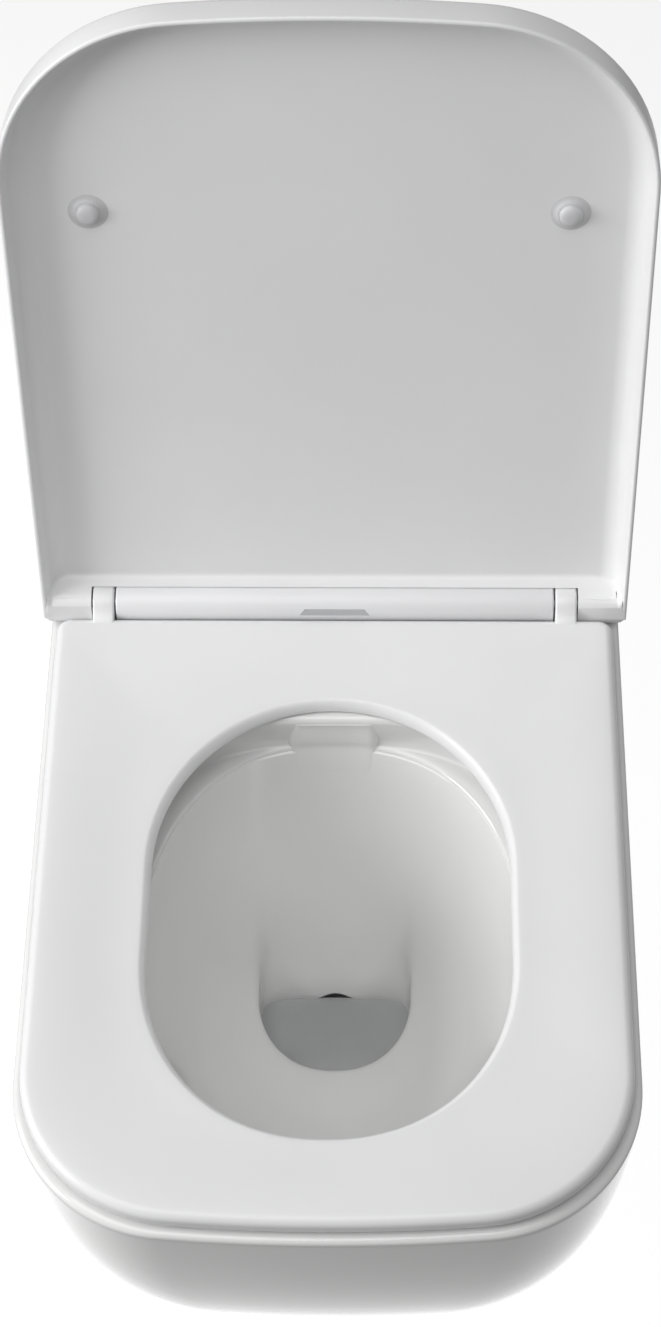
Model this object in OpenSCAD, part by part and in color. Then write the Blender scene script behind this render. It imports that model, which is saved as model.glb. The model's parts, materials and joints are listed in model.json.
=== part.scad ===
// Wall hung rimless toilet with a soft-close seat, a wrap-over lid and a quick-release hinge bar.
// Frame: the wall is the plane y = 0, the front of the pan points to -Y, +Z is up. The origin lies on the
// wall plane, midway between the two holes for the wall studs. The lid is drawn fully open.

/* [Pan] */
// Distance from the wall to the front of the pan
projection = 540; // [520:5:570]
// Width of the pan at its rim
pan_w = 360; // [350:2:370]
// Height of the rim above the wall studs
rim_z = 88; // [80:1:95]
// Height of the pan from rim to underside
pan_h = 338; // [325:1:345]
// Thickness of the fired clay
wall_t = 13; // [11:0.5:15]
// Thickness of the deck under the hinge
deck_t = 16; // [14:0.5:18]

/* [Plumbing and fixing] */
// Spacing of the wall studs
stud_gap = 180; // [180:50:230]
// Diameter of the stud holes in the clay
stud_hole_d = 26; // [24:1:28]
// Height of the inlet centre above the studs
inlet_z = 35; // [35:1:35]
// Diameter of the inlet socket
inlet_d = 55; // [55:1:55]
// Height of the outlet centre above the studs
outlet_z = -100; // [-100:1:-100]
// Outside diameter of the outlet spigot
outlet_d = 102; // [100:1:104]

/* [Seat and lid] */
// Width of the seat ring
seat_w = 349; // [343:1:351]
// Length of the seat ring, from the hinge bar to its front
seat_len = 410; // [405:1:411]
// Thickness of the seat ring at its edge
seat_t = 11; // [9:0.5:11.5]
// Width of the lid
lid_w = 367; // [364:1:370]
// Thickness of the lid panel and skirt
lid_t = 3.8; // [3.4:0.2:4]
// Angle from the closed lid to the fully open lid
lid_open = 101; // [96:1:104]

/* [Hinge] */
// Spacing of the hinge holes in the deck
hinge_gap = 155; // [140:1:165]
// Height of the hinge axis above the deck
axis_h = 12.6; // [12.6:0.1:13]
// Radius of the hinge knuckles and bar
knuckle_r = 12.2; // [12:0.1:12.2]
// Diameter of the hinge pins
pin_d = 8; // [7:0.5:8]
// Length of the hinge bar
bar_len = 275; // [270:1:280]
// Travel of the release button
button_travel = 3; // [2:0.5:3]

/* [Hidden] */
$fn = 64;

// Planes and axes
seat_z = rim_z + 4;
seat_top = seat_z + seat_t;
axis_z = rim_z + axis_h;
seat_rear = -(projection - 5 - seat_len);
axis_y = seat_rear + knuckle_r + 1;
lid_top = axis_z + knuckle_r;
lid_inner = lid_top - lid_t;
lid_rim = rim_z + 1.9;
lid_front = -projection - 1.5;
front_r = 1100;
seat_corner = 94;
lid_corner = 108;
ear_in = bar_len / 2 + 1;
ear_out = ear_in + 13.5;
block_in = ear_out + 0.8;
deck_z = rim_z - deck_t;

// Clearances and small parts
play = 0.05;
trap_r = 34;
trap_clay_r = 44;
spigot_len = 105;
spigot_wall = 7;
inlet_depth = 150;
inlet_wall = 10.5;
boss_wall = 10;
web_h = 28;
slot_w = 54;
slot_low = 50;
slot_h = 24;
bush_r = 6;
sleeve_r = 12.8;
stud_r = 6.3;
stud_depth = 62;
side_hole_r = 7;
side_y = -36;
cap_r = 12;
plate_t = 1.2;
post_r = 5;
neck_r = 3.4;
latch_z = axis_z - 3.2;
split_z = latch_z - 2.4;
latch_t = 1.6;
bar_floor = 2.4;
bar_shell = 2.2;
wedge_c = 17;
latch_w = 15;
spring_len = 12;
damper_r = 9.9;
damper_len = 46;
rotor_r = 6;
rotor_len = 14;
button_w = 44;
button_z = seat_top + 0.4;
button_h = 3.6;
bumper_x = 136;
bumper_from_axis = 292;
bumper_r = 6.5;

// ---------- outlines ----------

function arc(cx, cy, r, a0, a1, n) = [for (i = [0:n]) let (a = a0 + (a1 - a0) * i / n)
    [cx + r * cos(a), cy + r * sin(a)]];

// Half outline, from the rear corner on +X to the middle of the front: w half width, f front, c corner radius
function half_outline(w, f, rear, c, rr) = let (
        cx = w - c,
        reach = front_r - c,
        drop = front_r - sqrt(reach * reach - cx * cx),
        cy = f + drop,
        tip = atan2(cy - (f + front_r), cx)
    ) concat(
        rr > 0 ? arc(w - rr, rear - rr, rr, 90, 0, 6) : [[w, rear]],
        arc(cx, cy, c, 0, tip, 12),
        [for (k = [3:-1:0]) let (x = (cx + c * cos(tip)) * k / 4)
            [x, f + front_r - sqrt(front_r * front_r - x * x)]]
    );

function mirrored(points) = [for (i = [len(points) - 2:-1:0]) [-points[i][0], points[i][1]]];

function outline(w, f, rear, c, rr = 0) = let (h = half_outline(w, f, rear, c, rr)) concat(h, mirrored(h));

// Egg outline of the seat opening and the bowl: half width w, its rear and front ends, its widest point as a
// part of its length, and the length of its straight sides
function egg(w, rear, front, part, square = 2, straight = 0, n = 56) = let (
        mid = rear + (front - rear) * part
    ) [for (i = [0:n - 1]) let (
        a = -360 * (i + 0.5) / n,
        c = cos(a),
        s = sin(a),
        e = 2 / (s > 0 ? square : 2.15),
        reach = (s > 0 ? rear - mid : mid - front) - straight / 2
    ) [w * sign(c) * pow(abs(c), e), mid + sign(s) * (straight / 2 + reach * pow(abs(s), e))]];

// A closed solid through rings of equal length, each a list of [x, y, z]
module loft(rings) {
    n = len(rings[0]);
    m = len(rings);
    points = [for (r = rings) for (p = r) p];
    sides = [for (j = [0:m - 2]) for (i = [0:n - 1]) for (f = [0:1])
        let (a = j * n + i, b = j * n + (i + 1) % n)
        f == 0 ? [a, b, b + n] : [a, b + n, a + n]];
    bottom = [for (i = [n - 1:-1:0]) i];
    top = [for (i = [0:n - 1]) (m - 1) * n + i];
    polyhedron(points = points, faces = concat(sides, [bottom], [top]));
}

function lift(points, z) = [for (p = points) [p[0], p[1], z]];

// ---------- pan ----------

// Half width and front of the body at a depth below the rim
function body_w(d) = pan_w / 2 - 3.2 * d / 100 - 2.06 * pow(d / 100, 3);
function body_f(d) = -projection + 9.5 * d / 100 + 2.65 * pow(d / 100, 3);

module body(inset, rear, depths) {
    loft([for (d = depths)
        let (w = body_w(d[0]) - inset - d[1])
        lift(outline(w, body_f(d[0]) + inset + d[1], rear, min(95, w * 0.62)), rim_z - d[0])]);
}

// Levels of the bowl: height above the rim, half width, rear, front, widest point and squareness of the rear
bowl_levels = [
    [-275, 38, -292, -326, 0.4, 2],
    [-230, 46, -284, -336, 0.35, 2.6],
    [-190, 48, -282, -340, 0.35, 3],
    [-150, 66, -264, -388, 0.45, 2.8],
    [-110, 86, -244, -442, 0.5, 2.5],
    [-60, 106, -212, -478, 0.53, 2.6],
    [-26, 116, -195, -488, 0.55, 2.6],
    [-25.5, 128, -193, -498, 0.55, 3.2],
    [0, 128, -193, -498, 0.55, 3.2]
];

// Inside of the bowl, or with g above 0 the clay around it
module bowl(g) {
    last = len(bowl_levels) - 1;
    loft([for (i = [0:last])
        let (b = bowl_levels[i], z = i == 0 ? b[0] - g : (i == last && g == 0 ? 1 : b[0]))
        lift(egg(b[1] + g, b[2] + g, b[3] - g, b[4], b[5]), rim_z + z)]);
}

trap_path = [[-projection + 240, rim_z - 243], [-205, rim_z - 156], [-150, rim_z - 156],
    [-118, outlet_z + 3]];

// Passage of the trap, as straight tubes that meet in spheres
module trap(r) {
    for (i = [0:len(trap_path) - 2]) {
        from = trap_path[i];
        to = trap_path[i + 1];
        step = to - from;
        translate([0, from[0], from[1]]) rotate([atan2(step[1], step[0]) - 90, 0, 0])
            cylinder(r = r, h = norm(step));
        translate([0, to[0], to[1]]) sphere(r = r + 0.4);
    }
}

module along_y(r, from, to) {
    translate([0, from, 0]) rotate([90, 0, 0]) cylinder(r = r, h = from - to);
}

module both_sides() {
    children();
    mirror([1, 0, 0]) children();
}

module pan_clay() {
    difference() {
        body(0, 0, [[pan_h, 14], [pan_h - 6, 5], [pan_h - 18, 0], [290, 0], [250, 0], [200, 0], [140, 0],
            [70, 0], [4, 0], [1, 1.4], [0, 4]]);
        body(wall_t, 1, [[pan_h - wall_t, 12], [pan_h - 30, 0], [250, 0], [190, 0], [100, 0], [deck_t, 0]]);
    }
    bowl(wall_t - 2);
    trap(trap_clay_r);
    translate([0, 0, outlet_z]) along_y(outlet_d / 2, 0, -spigot_len);
    translate([0, 0, inlet_z]) along_y(inlet_d / 2 + inlet_wall, 0, -214);
    both_sides() {
        translate([stud_gap / 2, 0, 0]) along_y(stud_hole_d / 2 + boss_wall, 0, -stud_depth);
        translate([stud_gap / 2, -stud_depth, -web_h / 2])
            cube([body_w(rim_z) - stud_gap / 2 - 6, stud_depth, web_h]);
    }
}

module pan() color("white") difference() {
    pan_clay();
    bowl(0);
    trap(trap_r);
    translate([0, 0, outlet_z]) along_y(outlet_d / 2 - spigot_wall, 1, -spigot_len + 5);
    translate([0, 0, inlet_z]) along_y(inlet_d / 2, 1, -inlet_depth);
    translate([-slot_w / 2, -projection + 332, rim_z - slot_low]) cube([slot_w, 80, slot_h]);
    both_sides() {
        translate([stud_gap / 2, 0, 0]) along_y(stud_hole_d / 2, 1, -stud_depth - 1);
        translate([stud_gap / 2, side_y, 0]) rotate([0, 90, 0]) cylinder(r = side_hole_r, h = 100);
        translate([body_w(rim_z) - 3, side_y, 0]) rotate([0, 90, 0]) cylinder(r = cap_r + 0.5, h = 20);
        translate([hinge_gap / 2, axis_y, deck_z - 1]) cylinder(d = 14, h = deck_t + 2);
    }
}

module flush_distributor() color("whitesmoke") difference() {
    gap = 0.4;
    translate([-slot_w / 2 + gap, -projection + 346, rim_z - slot_low + gap])
        cube([slot_w - 2 * gap, 24, slot_h - 2 * gap]);
    for (x = [-18:12:18]) {
        translate([x - 4, -projection + 340, rim_z - slot_low + 5]) cube([8, 40, 14]);
    }
}

// ---------- wall fixing ----------

module fixing_sleeve() difference() {
    translate([stud_gap / 2, 0, 0]) along_y(sleeve_r, 0, -stud_depth + 2);
    translate([stud_gap / 2, 0, 0]) along_y(stud_r, 1, -stud_depth);
    translate([stud_gap / 2, side_y, 0]) rotate([0, 90, 0]) cylinder(r = 4, h = 20);
}

module fixing_sleeve_left() color("dimgray") mirror([1, 0, 0]) fixing_sleeve();

module fixing_sleeve_right() color("dimgray") fixing_sleeve();

module clamp_screws() color("silver") both_sides() {
    translate([stud_gap / 2 + stud_r + 0.4, side_y, 0]) rotate([0, 90, 0]) difference() {
        cylinder(r = 4 - play, h = 22);
        translate([0, 0, 18]) cylinder(r = 2.6, h = 5, $fn = 6);
    }
}

module cap() translate([body_w(rim_z) - 3, side_y, 0]) rotate([0, 90, 0]) {
    cylinder(r = cap_r, h = 2);
    translate([0, 0, -14]) cylinder(r = side_hole_r - 0.2, h = 14);
    translate([0, 0, 2]) cylinder(r1 = cap_r, r2 = cap_r - 1, h = 1);
}

module cap_left() color("white") mirror([1, 0, 0]) cap();

module cap_right() color("white") cap();

// ---------- hinge fixing ----------

module at_hinge_holes() both_sides() translate([hinge_gap / 2, axis_y, 0]) children();

module hinge_base_plates() color("silver") at_hinge_holes() translate([0, 0, rim_z]) difference() {
    cylinder(r = 9, h = plate_t);
    translate([0, 0, -1]) cylinder(r = 3.1, h = 4);
}

// A shaft with a conical nose and a neck for the latch
module post() {
    neck = latch_z - rim_z - plate_t;
    rotate_extrude() polygon([[0, 0], [post_r, 0], [post_r, neck - 1.2], [neck_r, neck - 1.2],
        [neck_r, neck + 1.2], [post_r, neck + 1.2], [post_r, neck + 3], [post_r - 2, neck + 5], [0, neck + 5]]);
}

module hinge_posts() color("silver") at_hinge_holes() translate([0, 0, rim_z + plate_t]) difference() {
    post();
    translate([0, 0, -1]) cylinder(r = 3 + play, h = 7);
}

module hinge_bolts() color("silver") at_hinge_holes() translate([0, 0, deck_z - 22]) cylinder(r = 3, h = 44);

module expansion_sleeves() color("black") at_hinge_holes() translate([0, 0, deck_z - 8]) difference() {
    cylinder(r = 6.9, h = deck_t + 8);
    translate([0, 0, -1]) cylinder(r = 3.1, h = deck_t + 10);
}

module expansion_nuts() color("gold") at_hinge_holes() translate([0, 0, deck_z - 18]) difference() {
    cylinder(r1 = 5.2, r2 = 6.8, h = 10);
    translate([0, 0, -1]) cylinder(r = 3 + play, h = 12);
}

// ---------- hinge bar ----------

module along_x(r, from, to) {
    translate([from, axis_y, axis_z]) rotate([0, 90, 0]) cylinder(r = r, h = to - from);
}

module above(z) {
    translate([-250, axis_y - 50, z]) cube([500, 100, 60]);
}

module below(z) {
    translate([-250, axis_y - 50, z - 60]) cube([500, 100, 60]);
}

module hinge_bar_base() color("white") difference() {
    intersection() {
        along_x(knuckle_r, -bar_len / 2, bar_len / 2);
        above(rim_z + 0.2);
        below(split_z);
    }
    intersection() {
        along_x(knuckle_r - bar_shell, -bar_len / 2 + 2, bar_len / 2 - 2);
        above(rim_z + bar_floor);
    }
    at_hinge_holes() translate([0, 0, rim_z - 1]) cylinder(r = 9.4, h = 10);
}

module button_window(g, deep) translate([0, axis_y - knuckle_r - 1, button_z]) rotate([-90, 0, 0])
    linear_extrude(deep) polygon([[-button_w / 2 - g, g], [button_w / 2 + g, g],
        [button_w / 2 - button_h + g, -button_h - g], [-button_w / 2 + button_h - g, -button_h - g]]);

module hinge_bar_cover() color("white") difference() {
    intersection() {
        along_x(knuckle_r, -bar_len / 2, bar_len / 2);
        above(split_z);
    }
    along_x(knuckle_r - bar_shell, -bar_len / 2 + 2, bar_len / 2 - 2);
    along_x(pin_d / 2 + 0.5, -bar_len, bar_len);
    button_window(0.3, 9 + button_travel);
}

module damper() difference() {
    along_x(damper_r, bar_len / 2 - 2.4 - damper_len, bar_len / 2 - 2.4);
    along_x(rotor_r + 0.15, bar_len / 2 - 2.4 - rotor_len - 0.3, bar_len / 2);
}

module damper_left() color("gray") mirror([1, 0, 0]) damper();

module damper_right() color("gray") damper();

module rotor() difference() {
    along_x(rotor_r, bar_len / 2 - 2.4 - rotor_len, bar_len / 2 - 2.6);
    along_x(pin_d / 2, bar_len / 2 - rotor_len, bar_len / 2);
}

module damper_rotor_left() color("dimgray") mirror([1, 0, 0]) rotor();

module damper_rotor_right() color("dimgray") rotor();

module pin() along_x(pin_d / 2, bar_len / 2 - rotor_len, lid_w / 2 - 9);

module hinge_pin_left() color("silver") mirror([1, 0, 0]) pin();

module hinge_pin_right() color("silver") pin();

module bush(from, to) difference() {
    along_x(bush_r, from, to);
    along_x(pin_d / 2 + play, from - 1, to + 1);
}

module seat_bush_left() color("ivory") mirror([1, 0, 0]) bush(ear_in + 0.2, ear_out - 0.2);

module lid_bush_right() color("ivory") bush(block_in + 0.2, lid_w / 2 - 8);

// A thin plate with a sloped end for the button, a tab for its spring and a keyhole at the neck of a post
module latch() translate([0, axis_y, latch_z]) difference() {
    union() {
        translate([0, 0, -latch_t / 2]) linear_extrude(latch_t) polygon([
            [wedge_c + 1.4, latch_w / 2], [wedge_c + 1.4, -1], [wedge_c + 0.4 + latch_w / 2, -latch_w / 2],
            [hinge_gap / 2 + latch_w / 2, -latch_w / 2], [hinge_gap / 2 + latch_w / 2, latch_w / 2]]);
        translate([hinge_gap / 2 - 24, -3, 0]) cube([1.2, 6, 5.5]);
    }
    translate([hinge_gap / 2, 0, -5]) cylinder(r = neck_r + 0.3, h = 10);
    translate([hinge_gap / 2 - button_travel, 0, -5]) cylinder(r = post_r + 0.4, h = 10);
}

module latch_left() color("silver") mirror([1, 0, 0]) latch();

module latch_right() color("silver") latch();

// Round wire wound about +Z
function coil_ring(r, pitch, wire, a) = [for (k = [0:5]) let (
        q = r + wire * cos(60 * k),
        z = pitch * a / 360 + wire * sin(60 * k)
    ) [q * cos(a), q * sin(a), z]];

module coil(r, wire, turns, length) {
    loft([for (a = [0:24:360 * turns]) coil_ring(r, length / turns, wire, a)]);
}

// Both springs are drawn at their pressed length, so that the tabs never reach them
module latch_springs() color("silver") both_sides()
    translate([hinge_gap / 2 - post_r - 0.6 - spring_len, axis_y, latch_z + latch_t / 2 + 2.6])
        rotate([0, 90, 0]) coil(1.9, 0.3, 5, spring_len);

// The visible face, and behind it the wedge that drives both latches
module release_button() color("lightgray") {
    intersection() {
        along_x(knuckle_r - 0.1, -button_w, button_w);
        button_window(0, 8);
    }
    translate([-wedge_c, axis_y - 8, latch_z - latch_t / 2]) cube([2 * wedge_c, 2.4, button_z + 1 - latch_z]);
    translate([0, axis_y, latch_z - latch_t / 2]) linear_extrude(latch_t)
        polygon([[-wedge_c - 8, -8], [wedge_c + 8, -8], [wedge_c + 1, -1], [-wedge_c - 1, -1]]);
}

module button_spring() color("silver") translate([0, axis_y - 2.2, button_z]) rotate([-90, 0, 0])
    coil(2, 0.3, 4, 9);

// ---------- seat ----------

module ear() translate([ear_in, 0, 0]) rotate([90, 0, 90]) linear_extrude(ear_out - ear_in) {
    translate([axis_y, axis_z]) circle(r = knuckle_r);
    polygon([[axis_y, axis_z + knuckle_r - 1], [seat_rear + 3.5, seat_top + 5.2],
        [seat_rear - 1, seat_top + 3.6], [seat_rear - 8, seat_top + 2], [seat_rear - 18, seat_top + 0.6],
        [seat_rear - 30, seat_top - 0.5], [seat_rear - 30, seat_z + 1], [seat_rear, seat_z],
        [axis_y, axis_z - knuckle_r + 0.3]]);
}

module seat() color("white") difference() {
    union() {
        translate([0, 0, seat_z]) linear_extrude(seat_t) difference() {
            polygon(outline(seat_w / 2, -projection + 5, seat_rear, seat_corner, 9));
            polygon(egg(seat_w / 2 - 67.5, seat_rear - 62.5, -projection + 61, 0.5, 2, 62));
        }
        both_sides() ear();
    }
    mirror([1, 0, 0]) along_x(bush_r, ear_in - 1, ear_out + 1);
    along_x(pin_d / 2, ear_in - 1, ear_out + 1);
}

module seat_buffers() color("whitesmoke") both_sides() {
    for (p = [[136, seat_rear - 85], [124, -projection + 62]]) {
        translate([p[0], p[1], rim_z + 0.1]) linear_extrude(seat_z - rim_z - 0.1) hull() {
            circle(r = 5, $fn = 32);
            translate([12, 0]) circle(r = 5, $fn = 32);
        }
    }
}

// ---------- lid ----------

// Turns what is drawn closed to the open lid's place
module opened() translate([0, axis_y, axis_z]) rotate([-lid_open, 0, 0])
    translate([0, -axis_y, -axis_z]) children();

module lid_closed() difference() {
    union() {
        translate([0, 0, lid_rim]) linear_extrude(lid_top - lid_rim)
            polygon(outline(lid_w / 2, lid_front, axis_y, lid_corner));
        intersection() {
            along_x(knuckle_r, -lid_w / 2, lid_w / 2);
            above(lid_rim);
        }
    }
    difference() {
        translate([0, 0, lid_rim - 1]) linear_extrude(lid_inner - lid_rim + 1)
            polygon(outline(lid_w / 2 - lid_t, lid_front + lid_t, axis_y, lid_corner - lid_t));
        both_sides() translate([block_in, 0, 0]) along_x(knuckle_r, 0, 60);
    }
    translate([-block_in, axis_y - knuckle_r - 3, lid_rim - 1])
        cube([2 * block_in, 60, lid_inner - lid_rim + 1]);
    along_x(knuckle_r + 0.6, -block_in, block_in);
    translate([-block_in, axis_y, lid_rim - 1]) cube([2 * block_in, 60, 60]);
    mirror([1, 0, 0]) along_x(pin_d / 2, block_in - 1, lid_w / 2 - 9);
    along_x(bush_r, block_in - 1, lid_w / 2 - 8);
}

module lid() color("white") opened() lid_closed();

module lid_bumpers() color("whitesmoke") opened() both_sides()
    translate([bumper_x, axis_y - bumper_from_axis, seat_top + 0.4]) rotate_extrude()
        polygon(concat([[0, lid_inner - seat_top - 0.4], [0, 0]], arc(0, bumper_r, bumper_r, -80, -15, 6),
            [[bumper_r + 0.3, lid_inner - seat_top - 0.4]]));

pan();
flush_distributor();
fixing_sleeve_left();
fixing_sleeve_right();
clamp_screws();
cap_left();
cap_right();
hinge_base_plates();
hinge_posts();
hinge_bolts();
expansion_sleeves();
expansion_nuts();
hinge_bar_base();
hinge_bar_cover();
damper_left();
damper_right();
damper_rotor_left();
damper_rotor_right();
hinge_pin_left();
hinge_pin_right();
seat_bush_left();
lid_bush_right();
latch_left();
latch_right();
latch_springs();
release_button();
button_spring();
seat();
seat_buffers();
lid();
lid_bumpers();
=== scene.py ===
"""Looks of the wall hung toilet.

Smooth glazed pan, soft-edged seat and lid, hinge trim, water, light and camera."""
import json
import math

import bmesh
import bpy
from mathutils import Matrix, Vector


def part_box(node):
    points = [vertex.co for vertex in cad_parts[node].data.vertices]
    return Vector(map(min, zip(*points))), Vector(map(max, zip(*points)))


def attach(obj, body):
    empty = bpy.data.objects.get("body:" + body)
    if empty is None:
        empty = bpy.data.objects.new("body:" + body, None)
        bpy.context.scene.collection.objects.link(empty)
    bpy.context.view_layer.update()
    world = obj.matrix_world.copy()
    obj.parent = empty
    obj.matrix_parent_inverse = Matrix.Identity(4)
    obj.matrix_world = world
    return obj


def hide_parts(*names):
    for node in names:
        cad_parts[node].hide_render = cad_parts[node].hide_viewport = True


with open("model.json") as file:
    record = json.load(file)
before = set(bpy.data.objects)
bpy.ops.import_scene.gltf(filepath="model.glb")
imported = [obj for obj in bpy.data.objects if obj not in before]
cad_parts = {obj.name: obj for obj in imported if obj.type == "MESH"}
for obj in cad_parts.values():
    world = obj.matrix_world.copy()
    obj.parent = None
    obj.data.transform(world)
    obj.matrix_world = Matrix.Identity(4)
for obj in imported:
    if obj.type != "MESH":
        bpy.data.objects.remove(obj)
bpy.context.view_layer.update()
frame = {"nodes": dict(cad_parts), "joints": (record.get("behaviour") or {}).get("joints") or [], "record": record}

MM = 0.001

# ---------- places and sizes, from the frame ----------

pan_low, pan_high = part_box("pan")
lid_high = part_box("lid")[1]
seat_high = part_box("seat")[1]
bar_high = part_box("hinge_bar_cover")[1]
button_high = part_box("release_button")[1]
joints = {j["name"]: j for j in frame["joints"]}

AXIS = Vector(joints["lid_hinge"]["pos_m"])
LID_OPEN = math.radians(-joints["lid_hinge"]["range_deg"][0])
RIM = 0.088
PAN_W = pan_high.x
PAN_FRONT = pan_low.y
PAN_BASE = pan_low.z
KNUCKLE_R = seat_high.z - AXIS.z
SEAT_W = 0.1745
SEAT_FRONT = PAN_FRONT + 5 * MM
SEAT_REAR = AXIS.y - KNUCKLE_R - 1 * MM
SEAT_Z = RIM + 4 * MM
SEAT_TOP = SEAT_Z + 11 * MM
LID_W = lid_high.x
LID_FRONT = PAN_FRONT - 1.5 * MM
LID_RIM = RIM + 1.9 * MM
LID_TOP = AXIS.z + KNUCKLE_R
LID_T = 3.8 * MM
BAR_END = bar_high.x
EAR_IN = BAR_END + 1 * MM
EAR_OUT = EAR_IN + 13.5 * MM
BLOCK_IN = EAR_OUT + 0.8 * MM
FRONT_R = 1.1
LEDGE_Z = RIM - 26 * MM
WATER_Z = RIM - 190 * MM
SUMP_END = RIM - 248 * MM
BODY_WALL = 13 * MM
STUD_X = 90 * MM
HINGE_X = 77.5 * MM
SCREW_Y = -36 * MM
OUTLET_Z = -100 * MM
INLET_Z = 35 * MM
BUMPER_X = 136 * MM
BUMPER_FROM_AXIS = 292 * MM

# The trap's middle line as (y, z) in mm, then the trap, outlet and inlet as clay to keep and as bores to cut
TRAP_PATH = [(-300, -162), (-205, -68), (-150, -68), (-118, -97)]
CLAY = {
    "trap_r": 44 * MM,
    "outlet_r": 51 * MM,
    "inlet_r": 38 * MM,
    "inlet_depth": 200 * MM,
    "proud": 5 * MM,
}
BORE = {
    "trap_r": 34 * MM,
    "outlet_r": 44 * MM,
    "inlet_r": 27.5 * MM,
    "inlet_depth": 150 * MM,
    "proud": 6 * MM,
}

# Levels of the bowl in mm: height from the rim, half width, rear, front, then the widest point as a part
# of the length, and the squareness of the rear
BOWL = [
    (-26, 116, -195, -488, 0.55, 2.4),
    (-60, 106, -212, -478, 0.53, 2.5),
    (-110, 85, -243, -440, 0.50, 2.6),
    (-140, 64, -259, -399, 0.46, 2.8),
    (-165, 41, -272, -354, 0.40, 3.0),
    (-190, 20, -286, -318, 0.40, 2.4),
    (-248, 12, -300, -312, 0.40, 2.0),
]
# Levels of the upright well that holds the water, in the same terms
WELL = [
    (-60, 46, -245, -330, 0.35, 5.0),
    (-90, 51, -247, -336, 0.35, 5.0),
    (-110, 51, -251, -344, 0.35, 5.0),
    (-150, 49, -267, -349, 0.35, 5.0),
    (-190, 47.5, -285, -343, 0.35, 5.0),
    (-215, 44, -286, -338, 0.35, 4.0),
    (-236, 34, -290, -328, 0.38, 2.6),
    (-248, 16, -298, -314, 0.40, 2.2),
]
WELL_CENTRE = -310 * MM
RIM_OPENING = (128, -193, -498, 0.55, 3.2)
SEAT_OPENING = (107, -187.5, -479, 0.5, 2.0)
SEAT_STRAIGHT = 62 * MM
BLUNT = 2.15
AROUND = 208


# ---------- outlines ----------

def arc(cx, cy, r, a0, a1, n):
    """n + 1 points on a circle, angles in radians."""
    return [(cx + r * math.cos(a0 + (a1 - a0) * i / n), cy + r * math.sin(a0 + (a1 - a0) * i / n))
            for i in range(n + 1)]


def circle(r, n):
    """n points on a circle about the origin."""
    return [(r * math.cos(2 * math.pi * i / n), r * math.sin(2 * math.pi * i / n)) for i in range(n)]


def quarter(steps):
    """Pairs (1 - sin, 1 - cos) over a quarter turn, to round an edge."""
    turns = [math.pi / 2 * k / steps for k in range(steps + 1)]
    return [(1 - math.sin(a), 1 - math.cos(a)) for a in turns]


def d_outline(half_w, front, rear, corner, rear_r=0.0, inset=0.0, sides=28, crowd=1.0):
    """Closed D outline from the middle of the rear over +X, the front and -X, moved inwards by inset.

    With crowd above 1 the points of the straight sides stand closer together near the rear."""
    w, f, r = half_w - inset, front + inset, rear - inset
    c, big = max(corner - inset, 4 * MM), FRONT_R - inset
    rr = max(rear_r - inset, 0.4 * MM)
    cx = w - c
    cy = f + big - math.sqrt((big - c) ** 2 - cx ** 2)
    tip = math.atan2(cy - (f + big), cx)
    half = [((w - rr) * k / 10, r) for k in range(10)]
    half += arc(w - rr, r - rr, rr, math.pi / 2, 0, 6)
    half += [(w, r - rr + (cy - r + rr) * (k / sides) ** crowd) for k in range(1, sides)]
    half += arc(cx, cy, c, 0, tip, 22)
    half += arc(0, f + big, big, tip, -math.pi / 2, 10)[1:]
    return half + [(-x, y) for x, y in reversed(half[1:-1])]


def egg_outline(shape, grow=0.0):
    """Egg outline (shape in mm) at even polar angles about the middle of its widest line."""
    w, rear, front, part, square = shape
    w, rear, front = w * MM + grow, rear * MM + grow, front * MM - grow
    mid = rear + (front - rear) * part
    points = []
    for i in range(AROUND):
        a = math.pi / 2 - 2 * math.pi * i / AROUND
        c, s = math.cos(a), math.sin(a)
        reach, e = (rear - mid, square) if s > 0 else (mid - front, BLUNT)
        radius = (abs(c / w) ** e + abs(s / reach) ** e) ** (-1 / e)
        points.append((radius * c, mid + radius * s))
    return points


def egg_reach(shape, centre, a, grow=0.0, straight=0.0):
    """Distance from (0, centre) to an egg with straight sides, in the direction of angle a."""
    w, rear, front, part, square = shape
    w, rear, front = w * MM + grow, rear * MM + grow, front * MM - grow
    mid = rear + (front - rear) * part
    c, s = math.cos(a), math.sin(a)
    near, far = 0.0, 0.35
    for _ in range(20):
        radius = (near + far) / 2
        x, y = radius * c, centre + radius * s - mid
        reach, e = (rear - mid, square) if y > 0 else (mid - front, BLUNT)
        past = max(abs(y) - straight / 2, 0.0) / (reach - straight / 2)
        if abs(x / w) ** e + past ** e < 1:
            near = radius
        else:
            far = radius
    return near


def at_z(points, z):
    return [Vector((x, y, z)) for x, y in points]


def mixed(a, b, t):
    return [p.lerp(q, t) for p, q in zip(a, b)]


def smooth_step(t):
    t = min(max(t, 0.0), 1.0)
    return t * t * (3 - 2 * t)


def softer_min(a, b, k):
    """The smaller of a and b, with a round transition of size k."""
    h = max(k - abs(a - b), 0.0) / k
    return min(a, b) - h * h * k / 4


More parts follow.
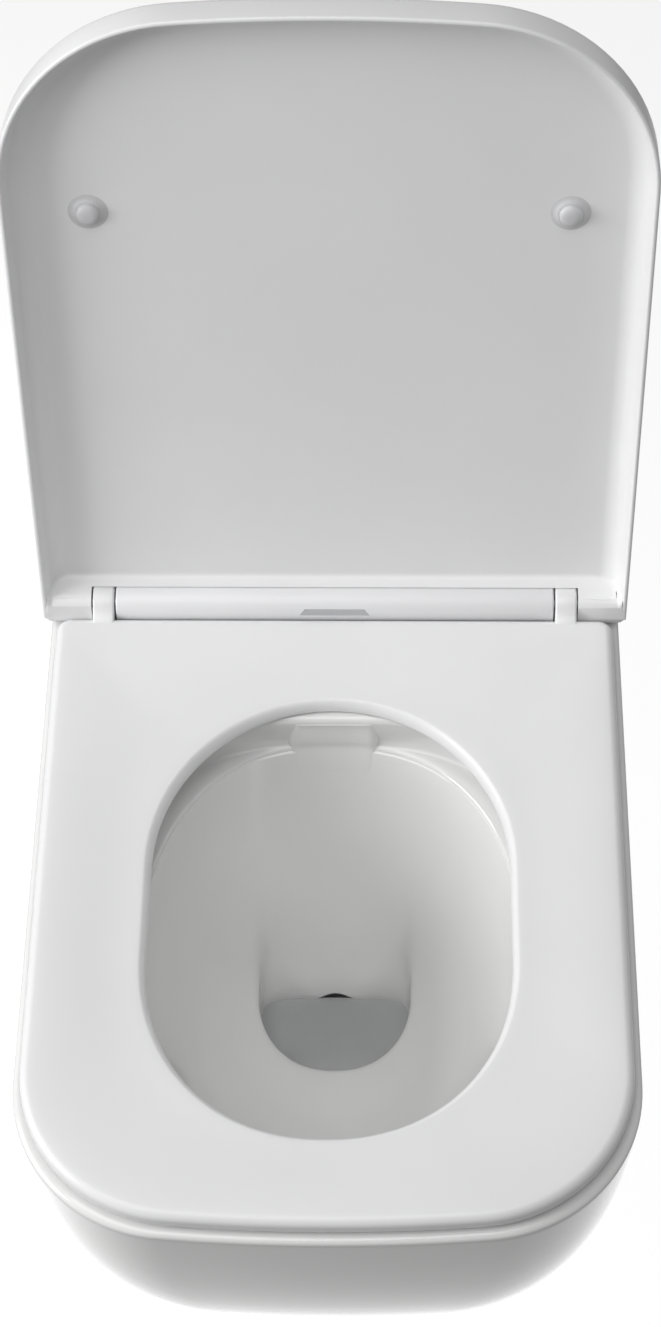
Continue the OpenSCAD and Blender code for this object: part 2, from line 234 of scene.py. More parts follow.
def monotone(keys, x):
    """Smooth value at x through keys [(x, value), ...] with falling x, without overshoot."""
    for i in range(len(keys) - 1):
        if x >= keys[i + 1][0] or i == len(keys) - 2:
            break
    slopes = [(keys[k + 1][1] - keys[k][1]) / (keys[k + 1][0] - keys[k][0]) for k in range(len(keys) - 1)]

    def tangent(k):
        if k == 0 or k == len(keys) - 1:
            return slopes[min(k, len(slopes) - 1)]
        a, b = slopes[k - 1], slopes[k]
        return 0.0 if a * b <= 0 else 2 * a * b / (a + b)

    (x0, y0), (x1, y1) = keys[i], keys[i + 1]
    h = x1 - x0
    t = (x - x0) / h
    return (y0 * (1 + 2 * t) * (1 - t) ** 2 + tangent(i) * h * t * (1 - t) ** 2
            + y1 * t * t * (3 - 2 * t) + tangent(i + 1) * h * t * t * (t - 1))


# ---------- mesh tools ----------

def mesh_object(name, points, faces):
    mesh = bpy.data.meshes.new(name)
    mesh.from_pydata([tuple(p) for p in points], [], faces)
    mesh.update()
    obj = bpy.data.objects.new(name, mesh)
    bpy.context.scene.collection.objects.link(obj)
    return obj


def loft(name, rings, closed=False):
    """A solid through rings of equal length; its ends are capped, or joined to each other when closed."""
    n, m = len(rings[0]), len(rings)
    points = [p for ring in rings for p in ring]
    faces = []
    for j in range(m if closed else m - 1):
        for i in range(n):
            k, l = (i + 1) % n, (j + 1) % m
            faces.append((j * n + i, j * n + k, l * n + k, l * n + i))
    if not closed:
        faces.append(tuple(reversed(range(n))))
        faces.append(tuple((m - 1) * n + i for i in range(n)))
    obj = mesh_object(name, points, faces)
    tidy(obj)
    return obj


def tidy(obj):
    """Welds, turns faces outwards, shades smooth and marks the sharp edges."""
    merge, sharp = 0.01 * MM, math.radians(42)
    bm = bmesh.new()
    bm.from_mesh(obj.data)
    bmesh.ops.remove_doubles(bm, verts=bm.verts, dist=merge)
    bmesh.ops.recalc_face_normals(bm, faces=bm.faces)
    for f in bm.faces:
        f.smooth = True
    for e in bm.edges:
        e.smooth = not (len(e.link_faces) == 2 and e.calc_face_angle(0) > sharp)
    bm.to_mesh(obj.data)
    bm.free()


def cylinder(name, start, end, r, n=64):
    """A round bar between two points, as a cutter or a boss."""
    start, end = Vector(start), Vector(end)
    turn = (end - start).to_track_quat("Z", "Y").to_matrix()
    ring = [turn @ Vector((x, y, 0)) for x, y in circle(r, n)]
    return loft(name, [[p + start for p in ring], [p + end for p in ring]])


def ball(name, centre, r):
    rings = []
    for k in range(1, 24):
        a = math.pi * k / 24
        rings.append([centre + Vector((x, y, -r * math.cos(a))) for x, y in circle(r * math.sin(a), 64)])
    return loft(name, rings)


def turned(name, profile, place):
    """A solid of revolution about +Z through place, from (radius, height) points, ends closed."""
    place = Vector(place)
    return loft(name, [[place + Vector((x, y, z)) for x, y in circle(r, 64)] for r, z in profile])


def round_ended(name, end, soft, steps, section):
    """A bar across X to both ends, with soft ends; section(shrink) gives its (y, z) points."""
    ends = [(end - soft * across, soft * down) for across, down in reversed(quarter(steps))]
    places = [(-x, shrink) for x, shrink in ends] + [(x, shrink) for x, shrink in reversed(ends)]
    return loft(name, [[Vector((x, y, z)) for y, z in section(shrink)] for x, shrink in places])


def block(name, low, high):
    xs, ys = (low[0], high[0]), (low[1], high[1])
    ring = [(xs[0], ys[0]), (xs[1], ys[0]), (xs[1], ys[1]), (xs[0], ys[1])]
    return loft(name, [at_z(ring, low[2]), at_z(ring, high[2])])


def combine(obj, other, operation):
    """Cuts other from obj, or joins it on, and removes other."""
    mod = obj.modifiers.new("combine", "BOOLEAN")
    mod.operation = operation
    mod.object = other
    mod.solver = "EXACT"
    bpy.context.view_layer.update()
    graph = bpy.context.evaluated_depsgraph_get()
    mesh = bpy.data.meshes.new_from_object(obj.evaluated_get(graph))
    obj.modifiers.clear()
    obj.data = mesh
    bpy.data.objects.remove(other)


def cut(obj, other):
    combine(obj, other, "DIFFERENCE")


def join(obj, other):
    combine(obj, other, "UNION")


# ---------- materials ----------

def principled(name, colour, roughness, tint=0.012, scale=9.0, bump=0.0, bump_scale=220.0,
               metallic=0.0, coat=0.0, ior=1.5):
    """A surface with slight procedural variation of colour and gloss, and a fine bump."""
    spread = 0.05
    mat = bpy.data.materials.new(name)
    mat.use_nodes = True
    nodes, links = mat.node_tree.nodes, mat.node_tree.links
    shader = nodes["Principled BSDF"]
    shader.inputs["Metallic"].default_value = metallic
    shader.inputs["IOR"].default_value = ior
    shader.inputs["Coat Weight"].default_value = coat
    shader.inputs["Coat Roughness"].default_value = 0.04
    place = nodes.new("ShaderNodeTexCoord")
    cloud = nodes.new("ShaderNodeTexNoise")
    cloud.inputs["Scale"].default_value = scale
    cloud.inputs["Detail"].default_value = 3.0
    links.new(place.outputs["Object"], cloud.inputs["Vector"])
    shade = nodes.new("ShaderNodeValToRGB")
    shade.color_ramp.elements[0].position = 0.35
    shade.color_ramp.elements[1].position = 0.65
    shade.color_ramp.elements[0].color = (*[max(c * (1 - tint), 0) for c in colour], 1)
    shade.color_ramp.elements[1].color = (*[min(c * (1 + tint), 1) for c in colour], 1)
    links.new(cloud.outputs["Fac"], shade.inputs["Fac"])
    links.new(shade.outputs["Color"], shader.inputs["Base Color"])
    gloss = nodes.new("ShaderNodeMapRange")
    gloss.inputs["To Min"].default_value = roughness * (1 - spread)
    gloss.inputs["To Max"].default_value = roughness * (1 + spread)
    links.new(cloud.outputs["Fac"], gloss.inputs["Value"])
    links.new(gloss.outputs["Result"], shader.inputs["Roughness"])
    if bump:
        grain = nodes.new("ShaderNodeTexNoise")
        grain.inputs["Scale"].default_value = bump_scale
        grain.inputs["Detail"].default_value = 2.0
        links.new(place.outputs["Object"], grain.inputs["Vector"])
        relief = nodes.new("ShaderNodeBump")
        relief.inputs["Strength"].default_value = bump
        relief.inputs["Distance"].default_value = 0.2 * MM
        links.new(grain.outputs["Fac"], relief.inputs["Height"])
        links.new(relief.outputs["Normal"], shader.inputs["Normal"])
    return mat


GLAZE = principled("glazed_ceramic", (0.80, 0.80, 0.795), 0.1, bump=0.05, bump_scale=60, coat=0.4)
DUROPLAST = principled("duroplast", (0.82, 0.82, 0.825), 0.3, bump=0.04, bump_scale=900)
HINGE_WHITE = principled("hinge_plastic", (0.80, 0.80, 0.81), 0.32, bump=0.06, bump_scale=900)
BUTTON_GREY = principled("button_grey", (0.5, 0.5, 0.52), 0.4, bump=0.08, bump_scale=1200)
SOFT_WHITE = principled("soft_white", (0.62, 0.62, 0.63), 0.45, bump=0.1, bump_scale=700)
DAMPER_GREY = principled("damper_grey", (0.12, 0.125, 0.13), 0.5, tint=0.05, bump=0.2, bump_scale=800)
STEEL = principled("steel", (0.62, 0.62, 0.63), 0.28, tint=0.05, scale=60, bump=0.15, bump_scale=1500,
                   metallic=1.0)
BLACK_RUBBER = principled("black_rubber", (0.025, 0.025, 0.026), 0.7, tint=0.1, bump=0.3, bump_scale=900)
BRASS = principled("brass", (0.72, 0.52, 0.2), 0.3, tint=0.06, scale=50, bump=0.15, bump_scale=1200,
                   metallic=1.0)
SLEEVE_GREY = principled("sleeve_grey", (0.16, 0.16, 0.17), 0.55, tint=0.06, bump=0.2, bump_scale=700)
CAP_WHITE = principled("cap_white", (0.80, 0.80, 0.80), 0.25, bump=0.04, bump_scale=900)

SLOT_LOOKS = {
    "glazed_ceramic": GLAZE,
    "duroplast": DUROPLAST,
    "hinge_plastic": HINGE_WHITE,
    "button_grey": BUTTON_GREY,
    "soft_white": SOFT_WHITE,
    "damper_grey": DAMPER_GREY,
    "steel": STEEL,
    "black_rubber": BLACK_RUBBER,
    "brass": BRASS,
    "sleeve_grey": SLEEVE_GREY,
    "cap_white": CAP_WHITE,
}


def water_material():
    """Clear still water over white glaze: a half-opaque grey veil, painted shade that darkens the glaze seen
    through it, with a sharp gloss.
    """
    # Painted shade: a grey colour at half alpha dims the well under the water
    mat = principled("water", (0.7, 0.705, 0.71), 0.03, tint=0.04, scale=14, ior=1.33)
    mat.node_tree.nodes["Principled BSDF"].inputs["Alpha"].default_value = 0.5
    return mat


def wear(obj, slot_name):
    """Gives a piece the look of a slot of the record."""
    obj.data.materials.clear()
    obj.data.materials.append(SLOT_LOOKS[slot_name])


# ---------- pan ----------

def body_width(depth):
    d = depth / (100 * MM)
    return PAN_W - (3.2 * d + 2.06 * d ** 3) * MM


def body_front(depth):
    d = depth / (100 * MM)
    return PAN_FRONT + (9.5 * d + 2.65 * d ** 3) * MM


def body_ring(depth, inset=0.0, rear=0.0, shell=0.0):
    w = body_width(depth) - shell - inset
    corner = min(95 * MM, w * 0.62)
    return at_z(d_outline(w, body_front(depth) + shell + inset, rear, corner, sides=56), RIM - depth)


def level(table, z):
    """Egg of a table of levels at a height under the rim, in mm."""
    return tuple(monotone([(k[0], k[i]) for k in table], z) for i in range(1, 6))


def bowl_ring(z, grow=0.0):
    """Outline of the bowl with its well at a height under the rim, in mm, blended round where they meet."""
    dish, well = level(BOWL, z), level(WELL, z)
    own = (dish[1] + (dish[2] - dish[1]) * dish[3]) * MM
    centre = own + (WELL_CENTRE - own) * smooth_step((-30 - z) / 80)
    points = []
    for i in range(AROUND):
        a = math.pi / 2 - 2 * math.pi * i / AROUND
        reach = egg_reach(dish, centre, a, grow)
        if z < -62:
            reach = -softer_min(-reach, -egg_reach(well, centre, a, grow), 4 * MM)
        points.append((reach * math.cos(a), centre + reach * math.sin(a)))
    return at_z(points, RIM + z * MM)


def bowl_rings(grow=0.0):
    """Rings of the bowl from the ledge under the rim down to the bottom of the well."""
    heights = [-29, -29.5, -30, -30.5] + [-32 - 4 * k for k in range(7)] + [-58 - 2 * k for k in range(66)]
    heights += [-192 - 4 * k for k in range(15)]
    return [bowl_ring(z, grow) for z in heights]


def rim_and_ledge_rings():
    """Rounded inner edge of the rim, the wall below it, the channel's cove and the soft edge of the ledge."""
    rings = []
    edge, cove, lip = 4 * MM, 6 * MM, 2.5 * MM
    for across, down in quarter(6):
        rings.append(at_z(egg_outline(RIM_OPENING, edge * across), RIM - edge * down))
    foot = at_z(egg_outline(RIM_OPENING), LEDGE_Z + cove)
    inner = egg_outline(BOWL[0][1:])
    rings.append(mixed(rings[-1], foot, 0.5))
    rings.append(foot)
    for up, across in quarter(5)[1:]:
        z = LEDGE_Z + cove * up
        rings.append(mixed(at_z(egg_outline(RIM_OPENING), z), at_z(inner, z), 0.45 * across))
    for across, down in quarter(4)[1:]:
        rings.append(at_z(egg_outline(BOWL[0][1:], lip * across), LEDGE_Z - lip * down))
    return rings


def pan_solid():
    """The pan's outside from its base up to the rim, then its inside down to the bottom of the well."""
    foot, edge, steps = 20 * MM, 4 * MM, 26
    depth = RIM - PAN_BASE
    rings = [body_ring(depth, inset=70 * MM)]
    for across, up in quarter(8):
        rings.append(body_ring(depth - foot * up, inset=foot * across))
    for k in range(1, steps + 1):
        rings.append(body_ring(depth - foot - (depth - foot - 8 * MM) * k / steps))
    for down, across in quarter(7):
        rings.append(body_ring(edge * down, inset=edge * across))
    rings += rim_and_ledge_rings()
    rings += bowl_rings()
    return loft("pan_ceramic", rings)


def pan_cavity():
    """The hollow behind the pan: the inside of its body without the bowl, the pipes and the bosses."""
    wall, depth = BODY_WALL, RIM - PAN_BASE
    rings = [body_ring(depth - wall, inset=12 * MM, rear=1 * MM, shell=wall)]
    for d in (depth - 30 * MM, 250 * MM, 190 * MM, 100 * MM, 16 * MM):
        rings.append(body_ring(d, rear=1 * MM, shell=wall))
    hollow = loft("hollow", rings)
    clay = wall - 2 * MM
    shell = [at_z(egg_outline(RIM_OPENING, clay), z) for z in (RIM + 1 * MM, RIM - 25 * MM)]
    shell += bowl_rings(clay)
    shell.append(at_z([(p.x, p.y) for p in bowl_ring(-248, clay - 6 * MM)], SUMP_END - clay))
    cut(hollow, loft("bowl_clay", shell))
    for part in pipes(**CLAY):
        cut(hollow, part)
    for side in (-1, 1):
        cut(hollow, cylinder("boss", (side * STUD_X, 5 * MM, 0), (side * STUD_X, -62 * MM, 0), 23 * MM))
        x0, x1 = sorted((side * STUD_X, side * 172 * MM))
        cut(hollow, block("web", (x0, -62 * MM, -14 * MM), (x1, 5 * MM, 14 * MM)))
    return hollow


def pipes(trap_r, outlet_r, inlet_r, inlet_depth, proud):
    """The trap, the outlet and the inlet as solids, to keep as clay or to cut as bores."""
    path = [Vector((0, y * MM, z * MM)) for y, z in TRAP_PATH]
    parts = [cylinder("trap", a, b, trap_r) for a, b in zip(path, path[1:])]
    parts += [ball("bend", p, trap_r + 0.3 * MM) for p in path[1:]]
    parts.append(cylinder("outlet", (0, proud, OUTLET_Z), (0, -104 * MM, OUTLET_Z), outlet_r))
    parts.append(cylinder("inlet", (0, proud, INLET_Z), (0, -inlet_depth, INLET_Z), inlet_r))
    return parts


def trap_mouth():
    """Cutter for the wide, flat-topped mouth in the well's rear wall, which narrows to the round trap."""
    def ring(y, across, height, middle, e):
        points = []
        for i in range(96):
            c, s = math.cos(2 * math.pi * i / 96), math.sin(2 * math.pi * i / 96)
            radius = (abs(c / across) ** e + abs(s / height) ** e) ** (-1 / e)
            points.append(Vector((radius * c, y * MM, middle + radius * s)))
        return points

    wide, tall, middle, square = 38 * MM, 36 * MM, -133.5 * MM, 7.0
    return loft("mouth", [ring(-300, wide, tall, middle, square), ring(-274, wide, tall, middle, square),
                          ring(-262, BORE["trap_r"], tall, -126 * MM, 2.5)])


def make_pan():
    """The fired body, with its hollow, bores, stud and screw holes, and the two hinge holes."""
    pan = pan_solid()
    cut(pan, pan_cavity())
    for part in pipes(**BORE) + [trap_mouth()]:
        cut(pan, part)
    for side in (-1, 1):
        cut(pan, cylinder("stud", (side * STUD_X, 6 * MM, 0), (side * STUD_X, -63 * MM, 0), 13 * MM))
        cut(pan, cylinder("screw", (side * STUD_X, SCREW_Y, 0), (side * 192 * MM, SCREW_Y, 0), 7 * MM))
        hinge = (side * HINGE_X, AXIS.y)
        cut(pan, cylinder("hole", (*hinge, RIM - 18 * MM), (*hinge, RIM + 2 * MM), 7 * MM))
    tidy(pan)
    return pan


def egg_rear(shape, x):
    """Y of the rear side of an egg at x."""
    w, rear, front, part, square = shape
    mid = rear + (front - rear) * part
    return (mid + (rear - mid) * (1 - abs(x / MM / w) ** square) ** (1 / square)) * MM


def make_distributor():
    """Front of the flush distributor: it closes the middle of the channel and runs into the wall below."""
    half, round_r = 30 * MM, 9 * MM
    top, low = RIM - 4.5 * MM, RIM - 64 * MM
    rings = []
    levels, steps = 29, 15
    for k in range(levels + 1):
        z = low + (top - low) * k / levels
        depth = (RIM - z) / MM
        blend = smooth_step((depth - 5) / 21)
        proud = 0.5 * MM - 1.6 * MM * smooth_step((depth - 30) / 34)
        ring = []
        lower = level(BOWL, -max(depth, 26))
        for i in range(2 * steps + 1):
            x = half * (1 - i / steps)
            wall = egg_rear(RIM_OPENING, x) * (1 - blend) + egg_rear(lower, x) * blend
            t = max((abs(x) - half + round_r) / round_r, 0.0)
            ring.append((x, wall - proud + round_r * (1 - math.sqrt(1 - t * t))))
        rings.append(at_z([(half, -165 * MM)] + ring + [(-half, -165 * MM)], z))
    return loft("distributor_front", rings)


def make_water():
    """Still water in the well: its flat top reaches into the glaze, and the rest stands just clear of it."""
    levels = [(56 * MM, -0.2 * MM), (46 * MM, -0.2 * MM), (25 * MM, -0.2 * MM), (0.6 * MM, -0.2 * MM),
              (0.0, 0.3 * MM)]
    return loft("water", [bowl_ring((WATER_Z - RIM - depth) / MM, grow) for depth, grow in levels])


# ---------- seat ----------

def make_seat():
    """The ring, dished a little towards its opening, with the ears that run up to the hinge."""
    edge_r, lip_r, foot_r, flange_r, corner = 5.5 * MM, 4.5 * MM, 1.5 * MM, 0.9 * MM, 94 * MM

    def outer(inset, z):
        return at_z(d_outline(SEAT_W, SEAT_FRONT, SEAT_REAR, corner, 9 * MM, inset), z)

    base = outer(0, 0)
    middle = (SEAT_OPENING[1] + (SEAT_OPENING[2] - SEAT_OPENING[1]) * SEAT_OPENING[3]) * MM
    angles = [math.atan2(p.y - middle, p.x) for p in base]

    def inner(grow, z):
        radii = [egg_reach(SEAT_OPENING, middle, a, grow, SEAT_STRAIGHT) for a in angles]
        return at_z([(r * math.cos(a), middle + r * math.sin(a)) for r, a in zip(radii, angles)], z)

    dish = 4.2 * MM
    rings = []
    for across, up in quarter(4):
        rings.append(outer(foot_r * across, SEAT_Z + foot_r * up))
    for down, across in quarter(7):
        rings.append(outer(edge_r * across, SEAT_TOP - edge_r * down))
    crest = outer(edge_r, SEAT_TOP)
    lip = inner(lip_r, SEAT_TOP - dish)
    steps = 14
    for k in range(1, steps):
        t = k / steps
        ring = mixed(crest, lip, t)
        z = SEAT_TOP - dish * smooth_step(t)
        rings.append([Vector((p.x, p.y, z)) for p in ring])
    flange = SEAT_Z - 2.4 * MM
    lip_h = SEAT_TOP - dish - SEAT_Z + foot_r
    for across, down in quarter(9):
        rings.append(inner(lip_r * across, SEAT_Z - foot_r + lip_h * (1 - down)))
    for up, across in quarter(4):
        rings.append(inner(flange_r * across, flange + flange_r * up))
    rings += [inner(3.5 * MM, flange), inner(4.5 * MM, SEAT_Z)]
    seat = loft("seat_ring", rings, closed=True)
    for side in (-1, 1):
        join(seat, make_ear(side))
    tidy(seat)
    return seat


def ear_profile(shrink):
    """Side view of an ear as (y, z) points: round at the hinge, then a slow run-out on to the ring."""
    r = KNUCKLE_R - shrink
    leave = math.radians(140)
    points = arc(AXIS.y, AXIS.z, r, -math.pi / 2, math.radians(90), 20)
    points += arc(AXIS.y, AXIS.z, r, math.radians(90), leave, 8)[1:]
    y0, z0 = points[-1]
    run, fall = 17 * MM, -1 / math.tan(leave)
    end = SEAT_TOP - 0.4 * MM - shrink
    for k in range(1, 17):
        t = k / 16
        z = z0 * (1 + 2 * t) * (1 - t) ** 2 - fall * run * t * (1 - t) ** 2 + end * t * t * (3 - 2 * t)
        points.append((y0 - run * t, z))
    points.append((y0 - run, SEAT_Z + 2 * MM))
    points.append((AXIS.y - KNUCKLE_R, SEAT_Z + 1 * MM + shrink))
    return points


def make_ear(side):
    """One ear of the seat, with its two sides rounded."""
    r = 1.6 * MM
    rounding = [(r * across, r * shrink) for shrink, across in quarter(5)]
    rings = [(EAR_IN + across, shrink) for across, shrink in rounding]
    rings += [(EAR_OUT - across, shrink) for across, shrink in reversed(rounding)]
    return loft("ear", [[Vector((side * x, y, z)) for y, z in ear_profile(s)] for x, s in rings])


# ---------- lid ----------

def lid_turn():
    """Turns the closed lid to the open place that the frame holds."""
    return Matrix.Translation(AXIS) @ Matrix.Rotation(-LID_OPEN, 4, "X") @ Matrix.Translation(-AXIS)


def pocket_height(y, depth_in):
    """Underside of the lid at y, at a point that lies depth_in inside the inner edge of its rim."""
    panel = LID_TOP - LID_T
    draft, fillet, rise = 2.5 * MM, 12 * MM, 11 * MM
    if depth_in < draft:
        wall = LID_RIM + 1 * MM + (panel - rise - LID_RIM - 1 * MM) * depth_in / draft
    else:
        t = min((depth_in - draft) / fillet, 1.0)
        wall = panel - rise * (1 - math.sqrt(max(1 - (1 - t) ** 2, 0.0)))
    gap = abs(y - AXIS.y)
    if gap < KNUCKLE_R - 0.5 * MM:
        knuckle = AXIS.z - math.sqrt(KNUCKLE_R ** 2 - gap ** 2)
    else:
        edge = KNUCKLE_R - 0.5 * MM
        knuckle = AXIS.z - math.sqrt(KNUCKLE_R ** 2 - edge ** 2) + 4 * (gap - edge)
    return max(min(softer_min(wall, knuckle, 12 * MM), panel), LID_RIM)


def lid_knuckle():
    """The round rear edge of the lid, as wide as the lid, with soft ends and cut off level with the rim."""
    knuckle = round_ended("knuckle", LID_W, 5 * MM, 7, lambda shrink: arc(
        AXIS.y, AXIS.z, KNUCKLE_R - shrink, 0, 2 * math.pi, 96)[:-1])
    cut(knuckle, block("below", (-0.3, AXIS.y - 0.05, LID_RIM - 0.06), (0.3, AXIS.y + 0.05, LID_RIM)))
    return knuckle


def make_lid():
    """The lid shell: soft edge, flat rim, drafted inner wall with a wide fillet, blocks at the hinge."""
    corner, edge_r, lip_r, inner_r, rear = 108 * MM, 5 * MM, 1.4 * MM, 1 * MM, 5 * MM

    def outer(inset, z):
        points = d_outline(LID_W, LID_FRONT, AXIS.y + rear, corner, 0, inset, sides=60, crowd=1.8)
        return [Vector((x, min(y, AXIS.y + rear), z)) for x, y in points]

    rings = [outer(160 * MM, LID_TOP), outer(60 * MM, LID_TOP), outer(20 * MM, LID_TOP)]
    for across, down in quarter(7):
        rings.append(outer(edge_r * across, LID_TOP - edge_r * down))
    for up, across in quarter(5):
        rings.append(outer(lip_r * across, LID_RIM + lip_r * up))
    start = LID_T - inner_r
    for across, up in quarter(4):
        rings.append(outer(start - inner_r * across, LID_RIM + inner_r * up))
    depths = [0.5 * MM * k for k in range(1, 10)] + [4.5 * MM + 1.2 * MM * k for k in range(1, 30)]
    for depth_in in depths + [60 * MM, 110 * MM, 150 * MM]:
        ring = outer(start + depth_in, 0)
        rings.append([Vector((p.x, p.y, pocket_height(p.y, depth_in))) for p in ring])
    lid = loft("lid_shell", rings)
    join(lid, lid_knuckle())
    bore = KNUCKLE_R + 0.6 * MM
    cut(lid, cylinder("notch", (-BLOCK_IN, AXIS.y, AXIS.z), (BLOCK_IN, AXIS.y, AXIS.z), bore, 128))
    cut(lid, block("behind", (-BLOCK_IN, AXIS.y, LID_RIM - 0.02), (BLOCK_IN, AXIS.y + 0.05, LID_TOP + 0.02)))
    cut(lid, block("under", (-BLOCK_IN, AXIS.y - bore, LID_RIM - 0.02), (BLOCK_IN, AXIS.y + 0.01, AXIS.z)))
    lid.data.transform(lid_turn())
    tidy(lid)
    return lid


def make_bumper(side):
    """A soft dome on a low conical foot that runs out on to the lid's panel."""
    panel = LID_TOP - LID_T
    foot = [(11.5 * MM, 0.3 * MM), (11.5 * MM, -0.02 * MM), (9.8 * MM, -0.3 * MM), (8.6 * MM, -0.9 * MM),
            (7.9 * MM, -1.5 * MM), (7.2 * MM, -1.8 * MM), (6.9 * MM, -1.75 * MM)]
    low = SEAT_TOP + 0.4 * MM - panel
    dome = [(6.5 * MM, low + 2.4 * MM)]
    for k in range(1, 10):
        a = math.pi / 2 * k / 10
        dome.append((1.4 * MM + 5.1 * MM * math.cos(a), low + 2.4 * MM * (1 - math.sin(a))))
    dome += [(1.2 * MM, low), (0.4 * MM, low)]
    bumper = turned("lid_bumper", foot + [(6.5 * MM, -1.9 * MM)] + dome,
                    (side * BUMPER_X, AXIS.y - BUMPER_FROM_AXIS, panel))
    bumper.data.transform(lid_turn())
    tidy(bumper)
    return bumper


# ---------- hinge bar ----------

def make_bar_cover():
    """Upper shell of the hinge bar with soft ends and the opening for the button."""
    split = AXIS.z - 5.6 * MM
    low = math.asin((split - AXIS.z) / KNUCKLE_R)

    def section(shrink):
        ring = arc(AXIS.y, AXIS.z, KNUCKLE_R - shrink, low, math.pi - low, 72)
        return [(y, max(z, split)) for y, z in ring]

    cover = round_ended("bar_cover", BAR_END, 1.2 * MM, 5, section)
    hollow = KNUCKLE_R - 2.2 * MM
    inside = BAR_END - 2 * MM
    cut(cover, cylinder("inside", (-inside, AXIS.y, AXIS.z), (inside, AXIS.y, AXIS.z), hollow, 96))
    base, high = SEAT_TOP + 0.4 * MM, button_high.z
    gap, half, lean = 0.3 * MM, 22 * MM, high - base
    outline = [(-half - gap, base - gap), (half + gap, base - gap),
               (half - lean + gap, high + gap), (-half + lean - gap, high + gap)]
    places = (AXIS.y - 14 * MM, AXIS.y - 3 * MM)
    cut(cover, loft("window", [[Vector((x, y, z)) for x, z in outline] for y in places]))
    tidy(cover)
    return cover


# ---------- floor, lights and camera ----------

# The floor, and the painted, glowing pool of light on it: radius, middle, and the fall-off value from which it is
# full
FLOOR_Z = -1.2
FLOOR_HALF = 6
POOL_R = 1.95
POOL_Y = 0.9
POOL_FULL = 0.42


def make_floor():
    """A pale floor far below, with a painted pool of light behind the object: there its colour is lighter and it
    glows, and further out it is painted darker.
    """
    corners = [(-1, -1), (1, -1), (1, 1), (-1, 1)]
    floor = mesh_object("floor", [(x * FLOOR_HALF, y * FLOOR_HALF, FLOOR_Z) for x, y in corners],
                        [(0, 1, 2, 3)])
    mat = principled("floor_painted_light_pool", (0.9, 0.9, 0.9), 0.8, tint=0.004, scale=2)
    nodes, links = mat.node_tree.nodes, mat.node_tree.links
    shader = nodes["Principled BSDF"]
    place = nodes.new("ShaderNodeTexCoord")
    spread = nodes.new("ShaderNodeMapping")
    spread.inputs["Location"].default_value = (0, -POOL_Y / POOL_R, -FLOOR_Z / POOL_R)
    spread.inputs["Scale"].default_value = (1 / POOL_R, 1 / POOL_R, 1 / POOL_R)
    links.new(place.outputs["Object"], spread.inputs["Vector"])
    pool = nodes.new("ShaderNodeTexGradient")
    pool.gradient_type = "SPHERICAL"
    links.new(spread.outputs["Vector"], pool.inputs["Vector"])
    # Painted pool of light: the floor's colour is lighter near the middle and painted darker further out
    shade = nodes.new("ShaderNodeValToRGB")
    shade.color_ramp.elements[0].position = 0.0
    shade.color_ramp.elements[0].color = (0.32, 0.32, 0.32, 1)
    shade.color_ramp.elements[1].position = POOL_FULL
    shade.color_ramp.elements[1].color = (0.9, 0.9, 0.9, 1)
    links.new(pool.outputs["Fac"], shade.inputs["Fac"])
    links.new(shade.outputs["Color"], shader.inputs["Base Color"])
    # Painted light: the floor glows in the pool though it is no lamp
    painted_glow = nodes.new("ShaderNodeMapRange")
    painted_glow.inputs["From Max"].default_value = POOL_FULL
    painted_glow.inputs["To Max"].default_value = 0.45
    links.new(pool.outputs["Fac"], painted_glow.inputs["Value"])
    links.new(painted_glow.outputs["Result"], shader.inputs["Emission Strength"])
    shader.inputs["Emission Color"].default_value = (1, 1, 1, 1)
    floor.data.materials.append(mat)


def area_light(name, place, target, size, watts):
    light = bpy.data.lights.new(name, "AREA")
    light.shape = "RECTANGLE"
    light.size, light.size_y = size
    light.energy = watts
    obj = bpy.data.objects.new(name, light)
    bpy.context.scene.collection.objects.link(obj)
    obj.location = place
    obj.rotation_euler = (Vector(target) - Vector(place)).to_track_quat("-Z", "Y").to_euler()


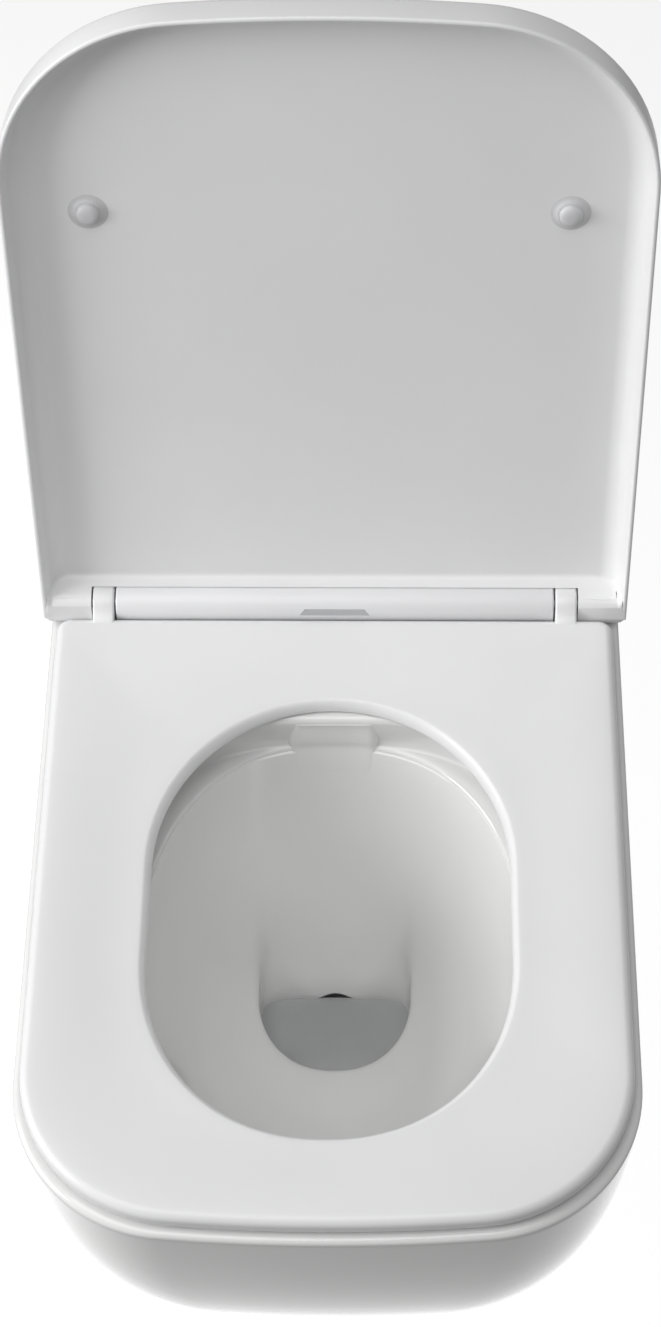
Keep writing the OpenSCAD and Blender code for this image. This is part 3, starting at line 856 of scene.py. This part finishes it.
# Soft boxes: name, place, width and height, watts
LIGHTS = [
    ("key_left", (-2.2, -0.7, 1.1), (1.4, 1.4), 44),
    ("top", (-0.4, -0.8, 2.5), (1.8, 1.8), 20),
]
WORLD_STRENGTH = 0.33
LIGHT_TARGET = (0, -0.3, 0.1)


def make_lights():
    world = bpy.data.worlds.new("studio")
    world.use_nodes = True
    world.node_tree.nodes["Background"].inputs["Color"].default_value = (1, 1, 1, 1)
    world.node_tree.nodes["Background"].inputs["Strength"].default_value = WORLD_STRENGTH
    bpy.context.scene.world = world
    for name, place, size, watts in LIGHTS:
        area_light(name, place, LIGHT_TARGET, size, watts)


def make_camera():
    data = bpy.data.cameras.new("camera")
    data.sensor_fit = "AUTO"
    data.sensor_width = 36
    data.lens = 78.047
    data.shift_x = -0.040
    data.clip_start = 0.05
    camera = bpy.data.objects.new("camera", data)
    camera.location = (0.0348, -1.1827, 1.5687)
    camera.rotation_euler = (math.radians(34.9), 0, math.radians(0.22))
    bpy.context.scene.collection.objects.link(camera)
    bpy.context.scene.camera = camera


# ---------- assembly ----------

def main():
    make_camera()
    make_lights()
    make_floor()
    bpy.context.scene.view_settings.view_transform = "Standard"

    slots = {s["node"]: s["material_slot"] for s in frame["record"]["subparts"]}
    for name, obj in frame["nodes"].items():
        obj.data.materials.clear()
        obj.data.materials.append(SLOT_LOOKS[slots[name]])

    pan = make_pan()
    wear(pan, "glazed_ceramic")
    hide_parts("pan")
    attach(pan, "pan_body")

    distributor = make_distributor()
    wear(distributor, "glazed_ceramic")
    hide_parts("flush_distributor")
    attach(distributor, "pan_body")

    water = make_water()
    water.data.materials.append(water_material())
    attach(water, "pan_body")

    seat = make_seat()
    wear(seat, "duroplast")
    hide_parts("seat")
    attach(seat, "seat")

    lid = make_lid()
    wear(lid, "duroplast")
    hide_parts("lid")
    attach(lid, "lid")

    bumpers = make_bumper(1)
    join(bumpers, make_bumper(-1))
    tidy(bumpers)
    wear(bumpers, "soft_white")
    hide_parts("lid_bumpers")
    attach(bumpers, "lid")

    cover = make_bar_cover()
    wear(cover, "hinge_plastic")
    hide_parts("hinge_bar_cover")
    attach(cover, "pan_body")


main()
